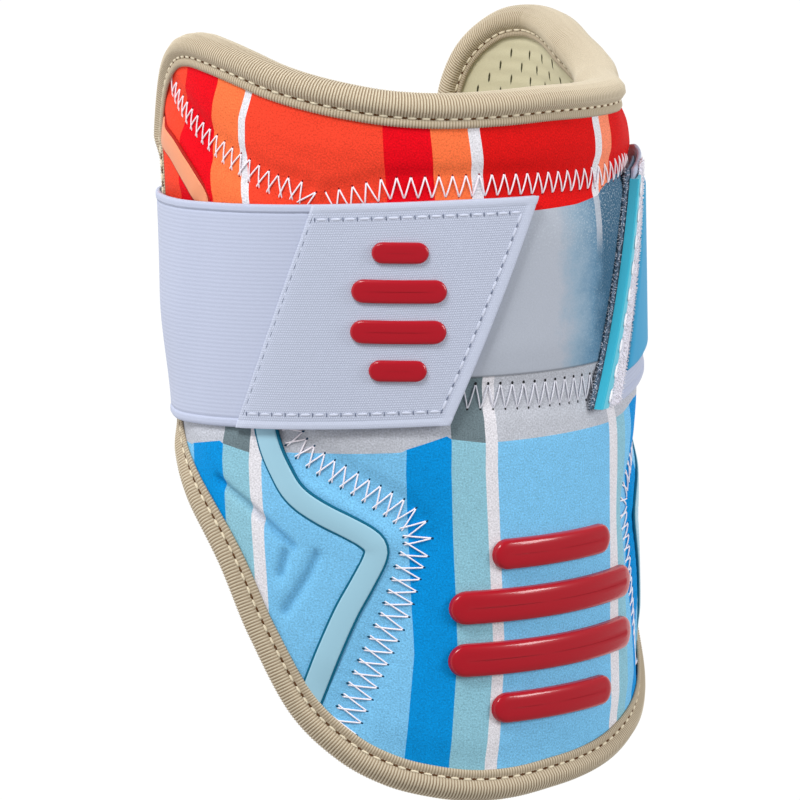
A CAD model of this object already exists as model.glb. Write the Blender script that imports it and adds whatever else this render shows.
# %% [markdown]
# # A padded elbow guard, dressed in cloth
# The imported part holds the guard's solids: a shell that curls round the arm, a liner, a bound
# rim and a strap. They could be shown as they are, but cloth, thread and padding need finer
# surfaces than solids have. So this script loads them as a fixed frame and lays each soft piece
# over its own solid. The guard is drawn in its own frame, with the arm along Y and the front
# towards +Z, and every point is then tipped onto the guard's back, as the part lies.

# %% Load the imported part
import math

import bmesh
import bpy
import numpy as np
from mathutils import Matrix, Vector


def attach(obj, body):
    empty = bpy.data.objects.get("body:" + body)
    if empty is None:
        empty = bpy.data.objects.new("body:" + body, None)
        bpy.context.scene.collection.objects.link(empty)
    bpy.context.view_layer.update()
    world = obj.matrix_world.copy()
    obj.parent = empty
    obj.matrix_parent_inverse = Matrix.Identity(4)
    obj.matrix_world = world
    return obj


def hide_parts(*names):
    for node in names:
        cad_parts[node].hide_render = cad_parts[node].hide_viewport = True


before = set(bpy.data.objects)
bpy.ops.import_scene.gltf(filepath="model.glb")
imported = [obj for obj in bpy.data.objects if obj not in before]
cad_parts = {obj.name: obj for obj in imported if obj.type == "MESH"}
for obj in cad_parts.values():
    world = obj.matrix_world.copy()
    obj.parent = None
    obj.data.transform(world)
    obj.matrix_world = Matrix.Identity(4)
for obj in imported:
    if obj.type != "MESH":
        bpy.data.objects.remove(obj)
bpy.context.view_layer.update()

print("CAD nodes:", len(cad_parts))

# %% [markdown]
# ## The guard's form
# The shell is a tapered tube, opened at the back and trimmed along a curved rim. It could be
# traced by hand, but a formula keeps cloth, thread and trim exactly where the solids are. A
# place on the shell is (arc, height): arc is the distance round it from the front centre line,
# and height is the distance up the arm.

# %% Sizes of the form
MM = 0.001
ARC_RADIUS = 68 * MM
BASE_RADIUS = 67.8 * MM
MID_HEIGHT = 110 * MM
TAPER = -0.067
# How much deeper the front is, and how much wider the sides, as shares of the radius
FRONT_SWELL = 0.045
OVAL = -0.034
CURL_START = math.radians(85)
CURL_TOP = 182 * MM
CURL_RATE = 0.31
CURL_LIMIT = 27 * MM
# Where both wings tuck in under the strap's lower edge: angles in degrees, heights in mm
TUCK_DEPTH = 3.4 * MM
TUCK_ANGLES = (84, 106)
TUCK_RISE = (80, 97)
TUCK_FALL = (104, 140)
# Where the right wing's top edge leans in
LEAN_DEPTH = 6 * MM
LEAN_START = (28, 46)
LEAN_END = (72, 98)
LEAN_RISE = (178, 206)
SHELL_WALL = 4.4 * MM
LINER_WALL = 2.8 * MM
SKIN_GAP = 0.35 * MM
BACK_DEPTH = 35.4 * MM
BACK_HEIGHT = 139 * MM
BACK_TILT = math.radians(8)
CENTRE_Y = -105.7 * MM
STRAP_WIDTH = 61 * MM
STRAP_THICK = 1.2 * MM

# Columns: angle in degrees from the front centre line, height in mm
RIM = (
    (0, 9.3), (10, 9.3), (20, 10.3), (30, 12.7), (40, 16.2), (50, 22.2),
    (60.8, 33.2), (70.9, 51.8), (80, 71.5), (91, 87.2), (101, 97.6), (108.5, 106.2),
    (114, 118), (117.5, 137), (120.5, 156), (123.5, 172), (125.5, 184),
    (122.8, 195.5), (117.5, 204.2), (109, 211.0), (100, 213.5), (90, 212.9),
    (80, 210.9), (70, 208.0), (60, 205.7), (50, 203.9), (40, 202.6),
    (28, 202.0), (14, 202.3), (0, 202.7),
)
# Rows of the table where the wing's edge begins and ends
LOW_CORNER = 11
HIGH_CORNER = 17
RIM_SKEW = 2.4 * MM
RIM_SKEW_SPAN = 70


# %% Points on the shell
def smooth(value, low, high):
    """0 below low, 1 above high, with a soft turn between."""
    share = np.clip((value - low) / (high - low), 0, 1)
    return share * share * (3 - 2 * share)


def shell_radius(angle, height):
    """Distance of the shell's outer face from the arm axis."""
    taper = 1 + TAPER * (height - MID_HEIGHT) / MID_HEIGHT
    oval = 1 + FRONT_SWELL * np.cos(angle) + OVAL * np.cos(2 * angle)
    past = np.maximum(np.abs(angle) - CURL_START, 0)
    curl = np.clip(CURL_RATE * (CURL_TOP - height), 0, CURL_LIMIT)
    degrees, high = np.degrees(angle), height / MM
    tuck = TUCK_DEPTH * smooth(np.abs(degrees), *TUCK_ANGLES)
    tuck = tuck * smooth(high, *TUCK_RISE) * (1 - smooth(high, *TUCK_FALL))
    lean = LEAN_DEPTH * smooth(high, *LEAN_RISE)
    lean = lean * smooth(degrees, *LEAN_START) * (1 - smooth(degrees, *LEAN_END))
    return BASE_RADIUS * taper * oval - curl * past * past - tuck - lean


def polar(angle, height, radius):
    return np.stack([radius * np.sin(angle), height + 0 * angle, radius * np.cos(angle)], -1)


def unit(vectors):
    return vectors / np.linalg.norm(vectors, axis=-1, keepdims=True)


def degrees_round(place):
    """Angles in degrees of places (arc, height)."""
    return np.degrees(place[..., 0] / ARC_RADIUS)


def on_shell(place, lift=0.0):
    """Points over places (arc, height), and the directions that point out of the shell."""
    step = 0.002
    angle, height = place[..., 0] / ARC_RADIUS, place[..., 1]
    here = polar(angle, height, shell_radius(angle, height))
    turn = polar(angle + step, height, shell_radius(angle + step, height)) - here
    rise = polar(angle, height + step, shell_radius(angle, height + step)) - here
    out = unit(np.cross(turn, rise))
    return here + out * np.asarray(lift)[..., None], out


floor_depth = BACK_DEPTH + STRAP_THICK / math.cos(BACK_TILT)
REST_TURN = np.array(Matrix.Rotation(BACK_TILT, 3, "X"))
REST_SHIFT = np.array([0, CENTRE_Y, -(REST_TURN @ [0, BACK_HEIGHT, -floor_depth])[2]])


def at_rest(points):
    """From the guard's own frame to the frame in which it lies on its back."""
    return points @ REST_TURN.T + REST_SHIFT


print("rest shift, mm:", np.round(REST_SHIFT / MM, 2))


# %% Lines on the shell
def arcs(rows):
    """Rows of (angle in degrees, height in mm) as places (arc, height) in metres."""
    table = np.array(rows, float)
    return np.stack([np.radians(table[:, 0]) * ARC_RADIUS, table[:, 1] * MM], -1)


KNOT_STEPS = 24


def curve_through(knots, closed=False, steps=KNOT_STEPS):
    """A smooth curve through the knots."""
    count = len(knots)
    spans = count if closed else count - 1
    first = np.arange(spans)
    picked = [first + k for k in (-1, 0, 1, 2)]
    picked = [p % count if closed else np.clip(p, 0, count - 1) for p in picked]
    a, b, c, d = (knots[p][:, None] for p in picked)
    t = (np.arange(steps) / steps)[None, :, None]
    line = 0.5 * (2 * b + (c - a) * t + (2 * a - 5 * b + 4 * c - d) * t ** 2
                  + (3 * b - a - 3 * c + d) * t ** 3)
    line = line.reshape(-1, knots.shape[1])
    return np.vstack([line, knots[:1] if closed else knots[-1:]])


def line_length(line):
    return np.linalg.norm(np.diff(line, axis=0), axis=1).sum()


def evenly(line, count):
    """Points at equal steps along a line, both ends included."""
    reach = np.r_[0, np.cumsum(np.linalg.norm(np.diff(line, axis=0), axis=1))]
    goal = np.linspace(0, reach[-1], count)
    return np.stack([np.interp(goal, reach, line[:, k]) for k in range(line.shape[1])], -1)


def mirrored(line):
    return line * (-1, 1)


def skewed(place):
    """The front's lower edge dips a little to the left."""
    degrees = degrees_round(place)
    near = (np.abs(degrees) < RIM_SKEW_SPAN) & (place[..., 1] < MID_HEIGHT)
    dip = RIM_SKEW * np.sin(np.pi * degrees / RIM_SKEW_SPAN)
    return np.stack([place[..., 0], place[..., 1] + np.where(near, dip, 0)], -1)


def inward_of(line):
    """Directions from a closed line's points into the shell."""
    ahead = np.roll(line, -1, 0) - np.roll(line, 1, 0)
    return unit(np.stack([-ahead[:, 1], ahead[:, 0]], -1))


left_rows = [(-angle, height) for angle, height in RIM[-2:0:-1]]
rim = curve_through(arcs(list(RIM) + left_rows), closed=True)[:-1]
rim_in = inward_of(rim)
print("rim length, mm:", round(line_length(rim) / MM))


# %% Grids that fill the shell's outline
def rim_side(first, last, side, inset, count):
    span = slice(first * KNOT_STEPS, last * KNOT_STEPS + 1)
    drawn = (rim[span] + rim_in[span] * inset) * (side, 1)
    return evenly(skewed(drawn), count)


def patch(side, inset, columns, rows):
    """Places that fill one half of the outline, rows from the lower edge to the upper."""
    low = rim_side(0, LOW_CORNER, side, inset, columns + 1)
    wing = rim_side(LOW_CORNER, HIGH_CORNER, side, inset, rows + 1)
    high = rim_side(HIGH_CORNER, len(RIM) - 1, side, inset, columns + 1)[::-1]
    low[0, 0] = high[0, 0] = 0
    low[-1], high[-1] = wing[0], wing[-1]
    u = (np.arange(columns + 1) / columns)[None, :, None]
    v = (np.arange(rows + 1) / rows)[:, None, None]
    centre = low[0] * (1 - v) + high[0] * v
    ruled = low[None] * (1 - v) + high[None] * v + centre * (1 - u) + wing[:, None] * u
    corners = ((low[0] * (1 - u) + low[-1] * u) * (1 - v)
               + (high[0] * (1 - u) + high[-1] * u) * v)
    return ruled - corners


def full_patch(inset, columns, rows):
    """Left and right halves joined at the centre line."""
    left = patch(-1, inset, columns, rows)
    right = patch(1, inset, columns, rows)
    return np.concatenate([left[:, :0:-1], right], 1)


# %% [markdown]
# ## Helpers that make meshes
# Most pieces are cloth or trim that follows the shell, so most are grids of points. They could
# be modelled by hand and shrunk onto the shell, but a grid keeps its rows along the cloth. One
# helper turns a grid into faces, one closes two grids into a thin solid, and one settles a
# piece: it rides on the guard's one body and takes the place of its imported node.

# %% Mesh helpers
def grid_faces(rows, columns, closed_across=False, closed_along=False):
    """Quads between neighbours of a grid whose points are numbered row by row."""
    lines = np.arange(rows if closed_along else rows - 1)
    cells = np.arange(columns if closed_across else columns - 1)
    j, i = np.meshgrid(lines, cells, indexing="ij")
    jn, inn = (j + 1) % rows, (i + 1) % columns
    quads = [j * columns + i, j * columns + inn, jn * columns + inn, jn * columns + i]
    return np.stack(quads, -1).reshape(-1, 4)


def solid_faces(rows, columns):
    """Faces of a thin solid: an outer grid, an inner grid after it, and the edges between."""
    outer = grid_faces(rows, columns)
    inner = outer[:, ::-1] + rows * columns
    loop = np.r_[np.arange(columns), np.arange(1, rows) * columns + columns - 1,
                 (rows - 1) * columns + np.arange(columns - 2, -1, -1),
                 np.arange(rows - 2, 0, -1) * columns]
    ahead = np.roll(loop, -1)
    shift = rows * columns
    edge = np.stack([ahead, loop, loop + shift, ahead + shift], -1)
    return np.vstack([outer, inner, edge])


def capped_faces(rows, columns):
    """Faces of a closed bar: rings of a grid, with both ends filled."""
    faces = grid_faces(rows, columns, closed_across=True).tolist()
    first, last = list(range(columns)), list(range((rows - 1) * columns, rows * columns))
    return faces + [first, last[::-1]]


def link_object(name, data):
    obj = bpy.data.objects.new(name, data)
    bpy.context.scene.collection.objects.link(obj)
    return obj


def new_piece(name, points, faces, material, uv=None, values=None):
    """Link a mesh made from points in the guard's own frame, tipped to where it rests."""
    mesh = bpy.data.meshes.new(name)
    face_list = faces if isinstance(faces, list) else faces.tolist()
    mesh.from_pydata(at_rest(points.reshape(-1, 3)).tolist(), [], face_list)
    corner = np.zeros(len(mesh.loops), int)
    mesh.loops.foreach_get("vertex_index", corner)
    for key, table in (uv or {}).items():
        layer = mesh.uv_layers.new(name=key)
        layer.data.foreach_set("uv", table.reshape(-1, 2)[corner].ravel())
    for key, numbers in (values or {}).items():
        layer = mesh.attributes.new(key, "FLOAT", "POINT")
        layer.data.foreach_set("value", numbers.ravel().astype(np.float32))
    mesh.materials.append(material)
    mesh.shade_smooth()
    obj = link_object(name, mesh)
    return obj


def new_sheet(name, outer, inner, material, uv=None, values=None):
    """A thin solid between two grids of points, which share their maps and values."""
    uv = {key: np.stack([table, table]) for key, table in (uv or {}).items()}
    values = {key: np.stack([table, table]) for key, table in (values or {}).items()}
    return new_piece(name, np.stack([outer, inner]), solid_faces(*outer.shape[:2]), material,
                     uv, values)


def outwards(obj):
    """Turn every face of a closed piece to point out of it."""
    bm = bmesh.new()
    bm.from_mesh(obj.data)
    bmesh.ops.recalc_face_normals(bm, faces=bm.faces)
    bm.to_mesh(obj.data)
    bm.free()
    return obj


def settle(obj, node=None):
    """Ride a finished piece on the guard's body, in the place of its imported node."""
    if node:
        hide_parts(node)
    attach(obj, "root")
    print(obj.name, len(obj.data.polygons), "faces")
    return obj


# %% [markdown]
# ## Helpers that make materials
# A material is a small tree of nodes. It could be wired by hand in the shader editor, but here
# `Tree` adds a node and wires it in one call, so that a finish reads as a list of steps. Grain
# and woven threads are node groups, as several cloths share them with their own sizes.

# %% Material helpers
def tint(red, green, blue):
    """A colour as the eye reads it, 0 to 255, in the linear values that a shader wants."""
    shares = np.array([red, green, blue]) / 255
    linear = np.where(shares < 0.04045, shares / 12.92, ((shares + 0.055) / 1.055) ** 2.4)
    return (*linear.tolist(), 1.0)


class Tree:
    """Adds nodes to a tree; inputs are values or the sockets of earlier nodes."""

    def __init__(self, tree):
        self.tree = tree

    def wire(self, value, socket):
        if isinstance(value, bpy.types.NodeSocket):
            self.tree.links.new(value, socket)
        else:
            socket.default_value = value

    def add(self, kind, output=0, props=None, **inputs):
        """Inputs go by name, or as i0, i1 and so on. No output named gives them all."""
        node = self.tree.nodes.new(kind)
        for key, value in (props or {}).items():
            setattr(node, key, value)
        for key, value in inputs.items():
            key = int(key[1:]) if key[1:].isdigit() else key.replace("_", " ")
            self.wire(value, node.inputs[key])
        return node.outputs if output is None else node.outputs[output]

    def math(self, operation, a, b=0.0, c=0.0):
        return self.add("ShaderNodeMath", props={"operation": operation}, i0=a, i1=b, i2=c)

    def mix(self, factor, a, b, blend="MIX"):
        props = {"data_type": "RGBA", "blend_type": blend, "clamp_factor": True}
        return self.add("ShaderNodeMix", 2, props, i0=factor, i6=a, i7=b)

    def stretch(self, value, low, high, first, last, soft=False):
        """From first to last while the value goes from low to high."""
        props = {"interpolation_type": "SMOOTHSTEP" if soft else "LINEAR"}
        return self.add("ShaderNodeMapRange", 0, props, Value=value, From_Min=low, From_Max=high,
                        To_Min=first, To_Max=last)

    def value_of(self, name):
        """An attribute that the mesh carries."""
        return self.add("ShaderNodeAttribute", 2, {"attribute_name": name})

    def ramp(self, factor, stops, interpolation="CONSTANT"):
        """Stops are (position, colour) pairs."""
        node = self.tree.nodes.new("ShaderNodeValToRGB")
        ramp = node.color_ramp
        ramp.interpolation = interpolation
        while len(ramp.elements) < len(stops):
            ramp.elements.new(1.0)
        for element, (position, _) in zip(ramp.elements, stops):
            element.position = position
        for element, (_, colour) in zip(ramp.elements, stops):
            element.color = colour
        self.wire(factor, node.inputs[0])
        return node.outputs[0]


def new_group(name, inputs, outputs, kind="ShaderNodeTree"):
    """An empty node group with named sockets: (tree, sockets in, sockets out)."""
    tree = bpy.data.node_groups.new(name, kind)
    for side, sockets in (("INPUT", inputs), ("OUTPUT", outputs)):
        for key, socket in sockets.items():
            tree.interface.new_socket(key, in_out=side, socket_type="NodeSocket" + socket)
    source = tree.nodes.new("NodeGroupInput")
    target = tree.nodes.new("NodeGroupOutput")
    return Tree(tree), source.outputs, target.inputs


def new_material(name, roughness, sheen=0.0, coat=0.0, shine=0.2):
    """A Principled material whose same-all-over values sit on the shader's own sockets."""
    material = bpy.data.materials.new(name)
    material.use_nodes = True
    shader = material.node_tree.nodes["Principled BSDF"].inputs
    values = {"Roughness": roughness, "Specular IOR Level": shine, "Sheen Weight": sheen,
              "Sheen Roughness": 0.6, "Coat Weight": coat, "Coat Roughness": 0.12}
    for key, value in values.items():
        shader[key].default_value = value
    return material, Tree(material.node_tree), shader


def make_plain(name, colour, roughness, sheen=0.0, coat=0.0):
    """A finish with one colour, set on the shader's own socket."""
    material, _, shader = new_material(name, roughness, sheen, coat)
    shader["Base Color"].default_value = colour
    return material


# %% Grain and weave, shared by the cloths
BROAD_SCALE = 0.16
FINE_SHARE = 0.88

grain, into, out = new_group("Cloth grain", {"Coordinates": "Vector", "Size": "Float"},
                             {"Mottle": "Float", "Height": "Float"})
fine = grain.add("ShaderNodeTexNoise", Vector=into["Coordinates"], Scale=into["Size"], Detail=4.0,
                 Roughness=0.65)
broad = grain.add("ShaderNodeTexNoise", Vector=into["Coordinates"],
                  Scale=grain.math("MULTIPLY", into["Size"], BROAD_SCALE), Detail=3.0)
both = grain.math("ADD", grain.math("MULTIPLY", fine, FINE_SHARE),
                  grain.math("MULTIPLY", broad, 1 - FINE_SHARE))
grain.wire(both, out["Mottle"])
grain.wire(fine, out["Height"])

weave, into, out = new_group(
    "Woven lines", {"Coordinates": "Vector", "Along": "Float", "Across": "Float"},
    {"Threads": "Float"})
split = weave.add("ShaderNodeSeparateXYZ", None, Vector=into["Coordinates"])
waves = []
for axis, count in enumerate(("Along", "Across")):
    turns = weave.math("MULTIPLY", weave.math("MULTIPLY", split[axis], into[count]), math.tau)
    waves.append(weave.math("MULTIPLY_ADD", weave.math("COSINE", turns), 0.5, 0.5))
weave.wire(weave.math("MINIMUM", *waves), out["Threads"])
print("shared groups:", grain.tree.name, "and", weave.tree.name)


# %% Helpers that end a cloth
def cloth_grain(tree, size):
    """UVs in decimetres, and the shared grain on them: (place, mottle, height)."""
    place = tree.add("ShaderNodeUVMap", props={"uv_map": "cloth"})
    props = {"node_tree": grain.tree}
    out = tree.add("ShaderNodeGroup", None, props, Coordinates=place, Size=size)
    return place, out["Mottle"], out["Height"]


def mottled(tree, factor, colour, mottle, dark, light):
    """A colour that grows darker and lighter with the grain."""
    return tree.mix(factor, colour, tree.stretch(mottle, 0.3, 0.7, dark, light), "MULTIPLY")


def finish_cloth(tree, shader, colour, height, bump, distance):
    """Wire a colour, and a height through a Bump node."""
    tree.wire(colour, shader["Base Color"])
    relief = tree.add("ShaderNodeBump", Strength=bump, Distance=distance, Height=height)
    tree.wire(relief, shader["Normal"])


# %% [markdown]
# ## The stripes
# The cover is printed. Reds run round the top, then a plain grey landing panel for the strap,
# a pale band and blues below. Each band but the panel has its own upright stripes, which lean a
# little where the padding swells. An image could carry them, but colour ramps with hard stops
# stay crisp at any distance. A UV map that holds (angle, height) lays them on the cloth.

# %% Colours of the print
RED_ORANGE = tint(240, 68, 44)
DEEP_RED = tint(226, 0, 22)
WARM_RED = tint(216, 16, 16)
ORANGE = tint(248, 116, 66)
PALE_ORANGE = tint(250, 142, 108)
WHITE = tint(226, 224, 230)
LIGHT_BLUE = tint(124, 194, 236)
BLUE = tint(0, 143, 217)
PALE_TEAL = tint(142, 194, 212)
PANEL_GREY = tint(176, 182, 194)
PANEL_HAZE = tint(146, 170, 190)
PANEL_BLUE = tint(106, 144, 172)
PANEL_SHADE = tint(60, 100, 128)
BAND_GREY = tint(188, 191, 200)
GREEN_GREY = tint(108, 124, 130)

# Columns: angle in degrees at which a stripe starts, colour
UPPER_STRIPES = (
    (-130, ORANGE), (-118.6, WHITE), (-117, RED_ORANGE), (-101, DEEP_RED), (-88.3, ORANGE),
    (-79.2, WHITE), (-76.7, RED_ORANGE), (-43, DEEP_RED), (-32, ORANGE), (-22.6, WHITE),
    (-20, WARM_RED), (17.2, WHITE), (19.8, PALE_ORANGE), (25.2, WARM_RED), (52, WHITE),
    (54.5, RED_ORANGE), (88, DEEP_RED), (101, ORANGE),
)
# The panel is plain and turns bluer round the right side, where its tone wanders
PANEL_WANDER = 16
PANEL_TONES = (
    (-130, PANEL_GREY), (10, PANEL_GREY), (17, PANEL_HAZE), (23, PANEL_BLUE), (29, PANEL_SHADE),
    (48, PANEL_SHADE),
)
PANEL_LINE = (17.2, 19.8)
PANEL_LINE_FADE = (154, 164)
BAND_STRIPES = (
    (-130, BAND_GREY), (-80, GREEN_GREY), (-72.2, WHITE), (-69.7, BAND_GREY),
    (-26.7, GREEN_GREY), (-18.5, WHITE), (-15.9, BAND_GREY), (21.2, WHITE), (24.7, BAND_GREY),
)
LOWER_STRIPES = (
    (-130, LIGHT_BLUE), (-89.5, BLUE), (-80, PALE_TEAL), (-72.2, WHITE), (-69.7, LIGHT_BLUE),
    (-37.5, BLUE), (-26.7, PALE_TEAL), (-18.5, WHITE), (-15.9, LIGHT_BLUE), (21.2, WHITE),
    (24.7, PALE_TEAL), (30, LIGHT_BLUE), (35, BLUE), (47, LIGHT_BLUE), (72, WHITE),
    (74.5, PALE_TEAL), (82, BLUE), (92, LIGHT_BLUE),
)

# Where the reds and the blues stop. Columns: angle in degrees, height in mm
RED_FOOT = ((-130, 160), (-60, 160), (-30, 166), (-8, 169.8), (10, 170.2), (19.8, 171.4),
            (24, 173.6), (34, 176), (130, 160))
BLUE_TOP = (
    (-130, 101), (-89.6, 102), (-89.5, 102.5), (-80.1, 105), (-80, 104.5), (-72, 103),
    (-69.7, 103.5), (-37.6, 105.5), (-37.5, 106), (-26.8, 110), (-26.7, 109), (-18.5, 107.5),
    (21.2, 108), (30, 109), (35, 110), (40, 111), (130, 111),
)
PANEL_FOOT = 125.5
PRINT_SPAN = 260
HEIGHT_SPAN = 250

# How far the stripes lean. Columns: angle, lean of the lower stripes, both in degrees
LEAN = ((-100, 3.6), (-60, 3.6), (-37, 2.8), (-26, 1.9), (-17, 2.4), (0, 0.6), (21, -0.5),
        (40, 0.0))
# How far the band's stripes lean on. Columns: angle, lean from the blues to the panel's foot
BAND_LEAN = ((-100, 1.7), (-60, 1.7), (-37, 1.1), (-26, 0.6), (-17, 0.5), (0, 0.7), (21, 1.3))
# Columns: height in mm, lean of the reds' stripes in degrees at -78, -21 and 18.5 degrees
RED_LEAN = ((171, 0.9, 0.6, -1.0), (176, -0.3, 0.9, 0.2), (184, -1.2, 0.2, -0.4),
            (193, -1.0, -0.9, -1.6), (202, 0.5, -0.9, -2.2))
# Columns: height in mm, share of the lower lean
LEAN_SHARE = ((20, 0.3), (40, 0.75), (50, 1.0), (60, 0.8), (70, 0.6), (85, 0.3), (100, 0.0))


# %% The map that carries the print
RED_LEAN_ANGLES = (-78, -21, 18.5)
BAND_LEAN_START = 108
BAND_LEAN_RISE = 18


def from_table(value, rows, column=1):
    """A column of a table, read between its rows at a value of the first column."""
    table = np.array(rows)
    return np.interp(value, table[:, 0], table[:, column])


def nominal_map(place, shift):
    """UVs for the print: the angle that a stripe has where it doesn't lean, and the height."""
    return np.stack([(degrees_round(place) - shift) / PRINT_SPAN + 0.5,
                     place[..., 1] / MM / HEIGHT_SPAN], -1)


def print_map(place):
    """The map of the bands below the reds."""
    degrees, height = degrees_round(place), place[..., 1] / MM
    shift = from_table(degrees, LEAN) * from_table(height, LEAN_SHARE)
    above_blues = np.clip((height - BAND_LEAN_START) / BAND_LEAN_RISE, 0, 1)
    return nominal_map(place, shift - from_table(degrees, BAND_LEAN) * above_blues)


def red_map(place):
    """The map of the reds, whose stripes lean their own way at three angles."""
    degrees, height = degrees_round(place), place[..., 1] / MM
    left, middle, right = RED_LEAN_ANGLES
    shift = from_table(height, RED_LEAN, 1)
    for column, low, high in ((2, left, middle), (3, middle, right)):
        turn = np.clip((degrees - low) / (high - low), 0, 1)
        shift = shift * (1 - turn) + from_table(height, RED_LEAN, column) * turn
    return nominal_map(place, shift)


def cloth_map(place):
    """UVs in decimetres, for grain that keeps its size everywhere."""
    return place / (100 * MM)


def across_at(angle):
    return angle / PRINT_SPAN + 0.5


def stripe_ramp(tree, across, stripes, interpolation="CONSTANT"):
    return tree.ramp(across, [(across_at(angle), colour) for angle, colour in stripes],
                     interpolation)


def height_ramp(tree, across, rows):
    """The height of a border as it changes with the angle."""
    stops = [(angle, (height / HEIGHT_SPAN,) * 3 + (1,)) for angle, height in rows]
    return stripe_ramp(tree, across, stops, "LINEAR")


# %% Printed cover cloth
RUBBED_GREY = tint(208, 218, 224)
FOOT_SHADE = tint(88, 90, 96)
FOLD_BLUE = tint(0, 92, 140)


def map_axes(tree, uv_map):
    """Both axes of a UV map."""
    place = tree.add("ShaderNodeUVMap", props={"uv_map": uv_map})
    return tree.add("ShaderNodeSeparateXYZ", None, Vector=place)[:2]


def panel_colour(tree, across, height, cloth):
    """The landing panel: a wandering blue round the side, a faint line, and rubbed specks."""
    clouds = tree.add("ShaderNodeTexNoise", Vector=cloth, Scale=9.0, Detail=6.0, Roughness=0.75)
    clouded = tree.math("MULTIPLY_ADD", clouds, PANEL_WANDER / PRINT_SPAN, across)
    panel = stripe_ramp(tree, clouded, PANEL_TONES, "LINEAR")
    line = tree.math("MULTIPLY", tree.math("GREATER_THAN", across, across_at(PANEL_LINE[0])),
                     tree.math("LESS_THAN", across, across_at(PANEL_LINE[1])))
    low, high = (level / HEIGHT_SPAN for level in PANEL_LINE_FADE)
    fade = tree.stretch(height, low, high, 0.0, 0.5, soft=True)
    panel = tree.mix(tree.math("MULTIPLY", line, fade), panel, WHITE)
    specks = tree.add("ShaderNodeTexNoise", Vector=cloth, Scale=160.0, Detail=6.0, Roughness=0.8)
    top = tree.stretch(height, 150 / HEIGHT_SPAN, 166 / HEIGHT_SPAN, 0.0, 0.6, soft=True)
    side = tree.stretch(across, across_at(5), across_at(16), 0.0, 0.35, soft=True)
    rubbed = tree.math("MULTIPLY", tree.math("ADD", top, side),
                       tree.stretch(specks, 0.5, 0.68, 0.0, 1.0, soft=True))
    return tree.mix(rubbed, panel, RUBBED_GREY)


def make_cover_cloth():
    material, tree, shader = new_material("printed_cover", 0.78, shine=0.1)
    across, height = map_axes(tree, "print")
    red_across, _ = map_axes(tree, "reds")
    cloth, mottle, relief = cloth_grain(tree, 200.0)
    foot = PANEL_FOOT / HEIGHT_SPAN
    above_foot = tree.math("GREATER_THAN", height, foot)
    foot_gap = tree.math("ABSOLUTE", tree.math("SUBTRACT", height, foot))
    foot_line = tree.stretch(foot_gap, 0.1 / HEIGHT_SPAN, 0.55 / HEIGHT_SPAN, 0.55, 0.0, soft=True)
    colour = tree.mix(above_foot, stripe_ramp(tree, across, BAND_STRIPES),
                      panel_colour(tree, red_across, height, cloth))
    colour = tree.mix(foot_line, colour, FOOT_SHADE)
    below = tree.math("LESS_THAN", height, height_ramp(tree, across, BLUE_TOP))
    colour = tree.mix(below, colour, stripe_ramp(tree, across, LOWER_STRIPES))
    above = tree.math("GREATER_THAN", height, height_ramp(tree, across, RED_FOOT))
    colour = tree.mix(above, colour, stripe_ramp(tree, red_across, UPPER_STRIPES))
    colour = tree.mix(tree.math("MULTIPLY", tree.value_of("fold"), 0.3), colour, FOLD_BLUE)
    on_panel = tree.math("MULTIPLY", above_foot, tree.math("SUBTRACT", 1.0, above))
    grainy = tree.math("SUBTRACT", 1.0, tree.math("MULTIPLY", on_panel, 0.8))
    colour = mottled(tree, grainy, colour, mottle, 0.68, 1.32)
    finish_cloth(tree, shader, colour, tree.math("MULTIPLY", relief, grainy), 0.6, 0.0003)
    return material


cover_cloth = make_cover_cloth()
print("stripes:", len(UPPER_STRIPES) + len(LOWER_STRIPES), "in the reds and blues")

# %% [markdown]
# ## The padded cover
# The real cover is stretch cloth over foam, and stitching pulls it down along the seams. It
# could be sculpted, but then each seam would have to be found again for its thread. Here the
# surface is a dense grid over the outline, and a height field on it swells the pads, sinks the
# seams and puckers the cloth between the needle holes. The strap presses it flat.

# %% Seams and creases of the cover
# Columns: angle in degrees, height in mm
SIDE_SEAM = arcs(((-112, 198), (-105, 194), (-100, 191.5), (-90, 186), (-80, 181), (-70, 176.5),
                  (-60, 172.3), (-56, 150), (-62, 120), (-62, 108), (-55, 101), (-50, 98),
                  (-45, 94.5), (-40, 91), (-36, 87.5), (-34, 84), (-33.5, 80), (-35, 75),
                  (-38, 62), (-40, 56), (-44, 44), (-46, 38), (-49, 29)))
FRONT_SEAM = arcs(((-56, 172.6), (-50, 174.3), (-45, 176), (-40, 177), (-20, 177.5), (0, 177),
                   (20, 176.5), (38, 177.5), (50, 174.3), (56, 172.6)))
MID_SEAM = arcs(((-27, 120.5), (-10, 119.6), (15, 119), (34, 118.6)))
CREASES = (
    arcs(((-80.5, 94.3), (-75, 90.7), (-70, 87), (-61, 78.5))),
    arcs(((-62.6, 76.8), (-63.1, 73.8), (-63.7, 70.8))),
    arcs(((-55.6, 77), (-58, 70), (-62.5, 60.5))),
)
LOWER_STRIP = arcs(((-69.2, 114), (-68.4, 109), (-66.7, 103.5), (-64.5, 98.7), (-62, 94.2), (-59, 91),
                    (-54.5, 87.9), (-49, 84.8), (-45, 82.2), (-43, 79.8), (-43, 76.4),
                    (-45.7, 69.2), (-48.8, 61.5), (-52, 51.5), (-55, 41), (-57, 34)))
UPPER_STRIP = arcs(((-116, 186), (-112, 183.6), (-105, 181.2), (-99.5, 177.9), (-94.5, 174.2),
                    (-91, 170.6), (-89.2, 165.5)))
STRIP_HALF = 2.85 * MM
# Zigzag of each seam, in mm. Columns: pitch, half width high up, half width low down
ZIGZAGS = {"left": (3.5, 3.1, 3.9), "right": (3.5, 3.1, 3.9), "front": (3.9, 3.1, 3.1),
           "middle": (3.9, 3.6, 3.6)}
STITCH_WIDENS = (82, 98)
BINDING_WIDTH = 8.8 * MM


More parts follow.
